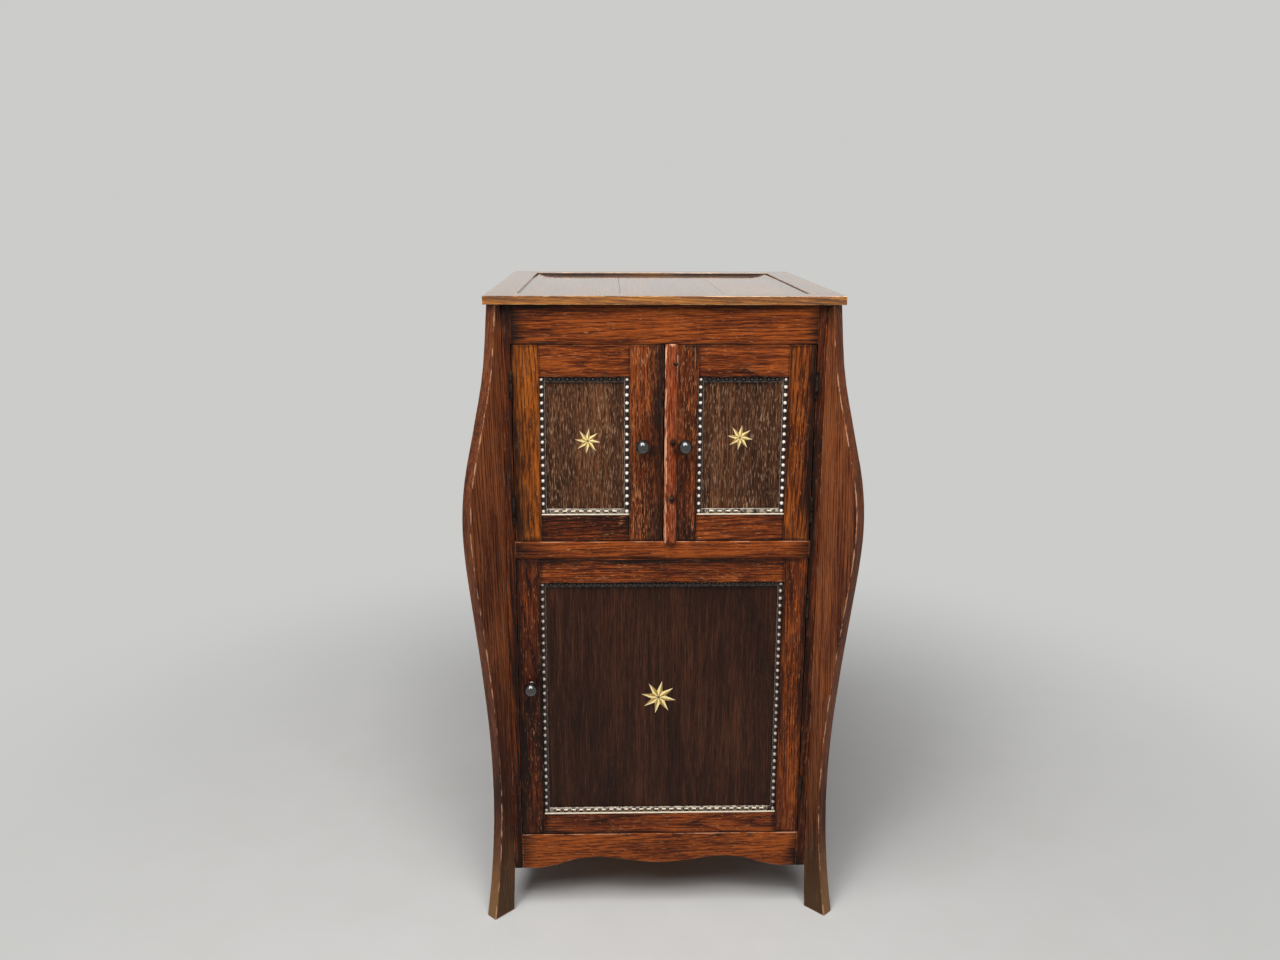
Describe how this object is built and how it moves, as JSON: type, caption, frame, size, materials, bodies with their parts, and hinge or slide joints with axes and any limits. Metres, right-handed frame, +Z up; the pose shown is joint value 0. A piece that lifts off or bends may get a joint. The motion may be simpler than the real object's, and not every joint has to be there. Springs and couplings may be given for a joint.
{
  "type": "gramophone cabinet",
  "caption": "Floor-standing oak cabinet for a wind-up gramophone, with a lift-up lid, doors over the horn and record store, and bowed corner legs.",
  "frame": {"origin": "on the floor, at the centre of the footprint", "axes": "+Z up, -Y towards the front doors, +X to the viewer's right when facing the front"},
  "size_m": [0.5702, 0.6322, 0.956],
  "materials": {
    "oak": "satin",
    "dark_oak_panel": "satin",
    "inside_wood": "matt",
    "beading": "gloss",
    "star_inlay": "satin",
    "black_knob": "gloss",
    "aged_steel": "worn",
    "worn_astragal": "worn",
    "brass": "satin",
    "cast_iron": "matt",
    "nickel": "satin",
    "baize": "matt"
  },
  "bodies": {
    "cabinet": {"side_board_left": "oak", "side_board_right": "oak", "frieze_rail": "oak", "mid_rail": "oak", "front_apron": "oak", "back_panel": "inside_wood", "bottom_board": "inside_wood", "mid_shelf": "inside_wood", "record_shelf": "inside_wood", "record_divider": "inside_wood", "leg_front_left": "oak", "leg_front_right": "oak", "leg_back_right": "oak", "leg_back_left": "oak", "lid_hinge_fixed_leaf": "brass", "horn_mouth_board": "dark_oak_panel", "motor_board": "oak", "horn": "inside_wood", "horn_throat": "cast_iron", "motor_frame": "cast_iron", "winding_escutcheon": "nickel", "tone_arm_base": "nickel"},
    "lid": {"lid_front_rail": "oak", "lid_back_rail": "oak", "lid_left_rail": "oak", "lid_right_rail": "oak", "lid_panel": "oak", "lid_hinge_moving_leaf": "brass", "lid_stay": "brass"},
    "upper_left_door": {"upper_left_door_frame": "oak", "upper_left_door_panel": "dark_oak_panel", "upper_left_door_beading": "beading", "upper_left_door_star": "star_inlay", "upper_left_door_knob": "black_knob", "upper_left_door_lower_hinge": "aged_steel", "upper_left_door_upper_hinge": "aged_steel"},
    "upper_right_door": {"upper_right_door_frame": "oak", "upper_right_door_panel": "dark_oak_panel", "upper_right_door_beading": "beading", "upper_right_door_star": "star_inlay", "upper_right_door_knob": "black_knob", "upper_right_door_lower_hinge": "aged_steel", "upper_right_door_upper_hinge": "aged_steel", "astragal": "worn_astragal"},
    "lower_door": {"lower_door_frame": "oak", "lower_door_panel": "dark_oak_panel", "lower_door_beading": "beading", "lower_door_star": "star_inlay", "lower_door_knob": "black_knob", "lower_door_lower_hinge": "aged_steel", "lower_door_upper_hinge": "aged_steel"},
    "turntable": {"turntable": "baize", "spindle": "nickel"},
    "spring_barrel": {"spring_barrel": "brass"},
    "governor": {"governor": "brass"},
    "winding_shaft": {"winding_shaft": "aged_steel"},
    "tone_arm": {"tone_arm": "nickel"},
    "sound_box": {"sound_box": "nickel"},
    "brake_lever": {"brake_lever": "nickel"}
  },
  "joints": [
    {"name": "lid_lift", "type": "hinge", "parent": "cabinet", "child": "lid", "pos_m": [0, 0.2739, 0.944], "axis": [-1, 0, 0], "range_deg": [0, 72]},
    {"name": "upper_left_door_swing", "type": "hinge", "parent": "cabinet", "child": "upper_left_door", "pos_m": [-0.214, -0.2732, 0.746], "axis": [0, 0, -1], "range_deg": [0, 108]},
    {"name": "upper_right_door_swing", "type": "hinge", "parent": "cabinet", "child": "upper_right_door", "pos_m": [0.214, -0.2732, 0.746], "axis": [0, 0, 1], "range_deg": [0, 108]},
    {"name": "lower_door_swing", "type": "hinge", "parent": "cabinet", "child": "lower_door", "pos_m": [0.214, -0.2732, 0.353], "axis": [0, 0, 1], "range_deg": [0, 108]},
    {"name": "turntable_spin", "type": "hinge", "parent": "cabinet", "child": "turntable", "pos_m": [-0.03, -0.06, 0.86], "axis": [0, 0, -1], "continuous": true},
    {"name": "barrel_turn", "type": "hinge", "parent": "cabinet", "child": "spring_barrel", "pos_m": [0.017, -0.06, 0.786], "axis": [-1, 0, 0], "continuous": true},
    {"name": "governor_spin", "type": "hinge", "parent": "cabinet", "child": "governor", "pos_m": [-0.054, -0.06, 0.7405], "axis": [0, 1, 0], "continuous": true},
    {"name": "winding_turn", "type": "hinge", "parent": "cabinet", "child": "winding_shaft", "pos_m": [0.2, -0.06, 0.786], "axis": [1, 0, 0], "continuous": true},
    {"name": "tone_arm_swing", "type": "hinge", "parent": "cabinet", "child": "tone_arm", "pos_m": [0.11, 0.11, 0.9], "axis": [0, 0, -1], "range_deg": [0, 32]},
    {"name": "sound_box_lift", "type": "hinge", "parent": "tone_arm", "child": "sound_box", "pos_m": [0.12459, -0.07543, 0.905], "axis": [-0.9969, -0.0785, 0], "range_deg": [0, 10]},
    {"name": "brake_turn", "type": "hinge", "parent": "cabinet", "child": "brake_lever", "pos_m": [-0.14, -0.17, 0.86], "axis": [0, 0, -1], "range_deg": [0, 25]}
  ],
  "couplings": [
    {"joint": "barrel_turn", "follows": "turntable_spin", "ratio": 0.41667},
    {"joint": "governor_spin", "follows": "turntable_spin", "ratio": 8}
  ]
}
